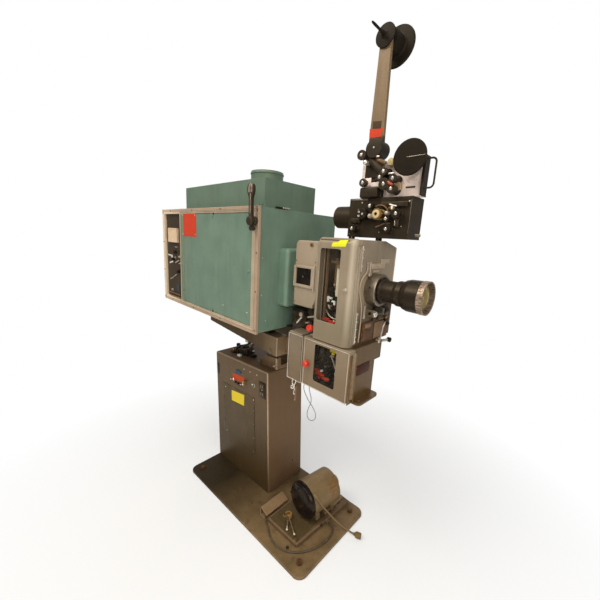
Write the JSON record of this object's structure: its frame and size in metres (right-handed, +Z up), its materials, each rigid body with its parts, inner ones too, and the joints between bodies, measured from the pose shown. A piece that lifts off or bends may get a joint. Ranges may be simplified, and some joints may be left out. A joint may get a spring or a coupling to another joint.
{
  "type": "cinema film projector",
  "caption": "Floor-standing cinema film projector: pedestal, tilting table, lamphouse, projector head, soundhead, sound readers, reel arm and drive motor.",
  "frame": {"origin": "centre of the base plate's underside, on the floor", "axes": "+X towards the screen, seen from above, -Y to the operator's side, +Z up; everything above the tilt pin is turned 3.66 degrees front down"},
  "size_m": [1.4663, 0.534, 2.1089],
  "materials": {
    "base_paint": "brown enamel, worn",
    "pedestal_paint": "brown-grey hammered enamel",
    "casting_paint": "brown-grey enamel on castings",
    "motor_paint": "brown-grey enamel with rust",
    "teal_paint": "satin blue-green enamel",
    "teal_cast": "blue-green enamel on an aluminium casting",
    "frame_metal": "beige anodised trim",
    "panel_black": "matt black",
    "meter_face": "cream dial in a moulded case",
    "black_metal": "satin black enamel",
    "hammer_grey": "warm grey enamel on aluminium castings",
    "drum_grey": "satin machined ring",
    "lens_black": "black anodised",
    "lens_glass": "coated optical glass",
    "clear_glass": "clear window glass",
    "mirror_silver": "polished reflector",
    "bolt_steel": "plain steel",
    "chrome": "bright plating",
    "bronze": "dull bronze",
    "brass": "polished brass",
    "pale_metal": "pale anodised plate",
    "arm_grey": "warm grey enamel on an aluminium arm",
    "red_plastic": "red moulded knob",
    "black_plastic": "black moulding",
    "brown_plastic": "dark brown moulding",
    "brown_cord": "brown jacket",
    "black_cord": "black jacket"
  },
  "bodies": {
    "pedestal": {"base_plate": "base_paint", "levelling_screws": "bronze", "pedestal_shell": "pedestal_paint", "access_panel": "pedestal_paint", "outlet_block": "black_plastic", "pivot_block": "casting_paint", "motor_body": "motor_paint", "motor_end_bell": "black_metal", "motor_tray": "casting_paint", "belt_guard": "casting_paint", "motor_levers": "bronze", "motor_cord": "brown_cord", "motor_plug": "brown_plastic", "machine_cables": "black_cord"},
    "tilting_head": {"tilt_table": "casting_paint", "tilt_pin": "black_metal", "lamphouse_riser": "black_metal", "front_bracket": "casting_paint", "lamphouse_body": "teal_paint", "side_frame": "frame_metal", "control_panel": "panel_black", "meter": "meter_face", "plenum_box": "teal_paint", "exhaust_collar": "teal_paint", "nose_housing": "teal_cast", "reflector": "mirror_silver", "xenon_bulb": "clear_glass", "lamp_cradle": "casting_paint", "shutter_housing": "hammer_grey", "head_casting": "hammer_grey", "film_gate": "chrome", "lens_drum": "drum_grey", "soundhead_casting": "hammer_grey", "reader_box": "black_metal", "upper_reader": "pale_metal", "grab_handle": "black_metal", "reel_arm": "arm_grey", "safety_wire": "bolt_steel"},
    "motor_switch": {"motor_switch": "chrome"},
    "tilt_screw": {"tilt_screw": "bolt_steel"},
    "motor_rotor": {"motor_rotor": "bolt_steel"},
    "lamp_switch": {"lamp_switch": "chrome"},
    "lamp_door": {"lamp_door": "teal_paint"},
    "douser": {"douser_lever": "black_metal"},
    "shutter": {"shutter_disc": "black_metal"},
    "head_door": {"head_door": "hammer_grey", "head_door_glass": "clear_glass"},
    "feed_sprocket": {"feed_sprocket": "bolt_steel"},
    "intermittent_sprocket": {"intermittent_sprocket": "bolt_steel"},
    "framing_knob": {"framing_knob": "red_plastic"},
    "lens": {"lens_barrel": "lens_black", "lens_glass": "lens_glass"},
    "focus_knob": {"focus_knob": "black_plastic"},
    "soundhead_door": {"soundhead_door": "hammer_grey", "soundhead_glass": "clear_glass"},
    "latch_knob": {"latch_knob": "red_plastic"},
    "sound_drum": {"sound_drum": "bolt_steel"},
    "reader_sprocket": {"reader_sprocket": "brass"},
    "flywheel": {"flywheel_disc": "black_metal"},
    "reel_spindle": {"reel_spindle": "black_metal"}
  },
  "joints": [
    {"name": "tilt", "type": "hinge", "parent": "pedestal", "child": "tilting_head", "pos_m": [-0.028, 0.097, 0.808], "axis": [0, 1, 0], "range_deg": [-6.66, 4.34]},
    {"name": "tilt_screw_lift", "type": "slide", "parent": "pedestal", "child": "tilt_screw", "axis": [0, 0, 1], "range_m": [-0.0319, 0.0208]},
    {"name": "motor_switch_throw", "type": "hinge", "parent": "pedestal", "child": "motor_switch", "pos_m": [-0.286, -0.032, 0.588], "axis": [1, 0, 0], "range_deg": [0, 36]},
    {"name": "motor_spin", "type": "hinge", "parent": "pedestal", "child": "motor_rotor", "pos_m": [0.272, -0.047, 0.125], "axis": [0.1392, 0.9903, 0], "continuous": true},
    {"name": "lamp_switch_throw", "type": "hinge", "parent": "tilting_head", "child": "lamp_switch", "pos_m": [-0.55698, -0.2415, 1.31079], "axis": [0.998, 0, -0.0638], "range_deg": [0, 36]},
    {"name": "lamp_door_swing", "type": "hinge", "parent": "tilting_head", "child": "lamp_door", "pos_m": [-0.41097, -0.254, 1.29845], "axis": [0.0638, 0, 0.998], "range_deg": [-110, 0]},
    {"name": "douser_swing", "type": "hinge", "parent": "tilting_head", "child": "douser", "pos_m": [0.23069, -0.26, 1.4528], "axis": [0, 1, 0], "range_deg": [0, 75]},
    {"name": "shutter_spin", "type": "hinge", "parent": "tilting_head", "child": "shutter", "pos_m": [0.37938, 0.047, 1.22384], "axis": [0.998, 0, -0.0638], "continuous": true},
    {"name": "head_door_swing", "type": "hinge", "parent": "tilting_head", "child": "head_door", "pos_m": [0.60633, -0.116, 1.19229], "axis": [0.0638, 0, 0.998], "range_deg": [0, 120]},
    {"name": "feed_spin", "type": "hinge", "parent": "tilting_head", "child": "feed_sprocket", "pos_m": [0.51369, -0.015, 1.31846], "axis": [0, 1, 0], "continuous": true},
    {"name": "intermittent_spin", "type": "hinge", "parent": "tilting_head", "child": "intermittent_sprocket", "pos_m": [0.49608, -0.015, 1.13722], "axis": [0, 1, 0], "continuous": true},
    {"name": "framing_turn", "type": "hinge", "parent": "tilting_head", "child": "framing_knob", "pos_m": [0.41536, -0.134, 1.05019], "axis": [0, 1, 0], "range_deg": [-90, 90]},
    {"name": "focus_turn", "type": "hinge", "parent": "tilting_head", "child": "focus_knob", "pos_m": [0.61852, 0, 1.12437], "axis": [0, 1, 0], "range_deg": [-135, 270]},
    {"name": "lens_slide", "type": "slide", "parent": "tilting_head", "child": "lens", "axis": [0.998, 0, -0.0638], "range_m": [-0.004, 0.008]},
    {"name": "soundhead_door_swing", "type": "hinge", "parent": "tilting_head", "child": "soundhead_door", "pos_m": [0.60465, -0.116, 0.8998], "axis": [0.0638, 0, 0.998], "range_deg": [0, 110]},
    {"name": "latch_turn", "type": "hinge", "parent": "soundhead_door", "child": "latch_knob", "pos_m": [0.40611, -0.1453, 0.90549], "axis": [0, 1, 0], "range_deg": [0, 90]},
    {"name": "sound_drum_spin", "type": "hinge", "parent": "tilting_head", "child": "sound_drum", "pos_m": [0.47992, -0.015, 0.9158], "axis": [0, 1, 0], "continuous": true},
    {"name": "reader_sprocket_spin", "type": "hinge", "parent": "tilting_head", "child": "reader_sprocket", "pos_m": [0.61472, -0.015, 1.47233], "axis": [0, 1, 0], "continuous": true},
    {"name": "flywheel_spin", "type": "hinge", "parent": "tilting_head", "child": "flywheel", "pos_m": [0.71851, -0.025, 1.63804], "axis": [0, 1, 0], "continuous": true},
    {"name": "reel_spin", "type": "hinge", "parent": "tilting_head", "child": "reel_spindle", "pos_m": [0.59316, 0.005, 2.04387], "axis": [0, 1, 0], "continuous": true}
  ],
  "couplings": [
    {"joint": "tilt_screw_lift", "follows": "tilt", "m_per_rad": 0.2731},
    {"joint": "feed_spin", "follows": "shutter_spin", "ratio": 0.16667},
    {"joint": "intermittent_spin", "follows": "shutter_spin", "ratio": 0.25},
    {"joint": "focus_turn", "follows": "lens_slide", "rad_per_m": 589.04}
  ]
}
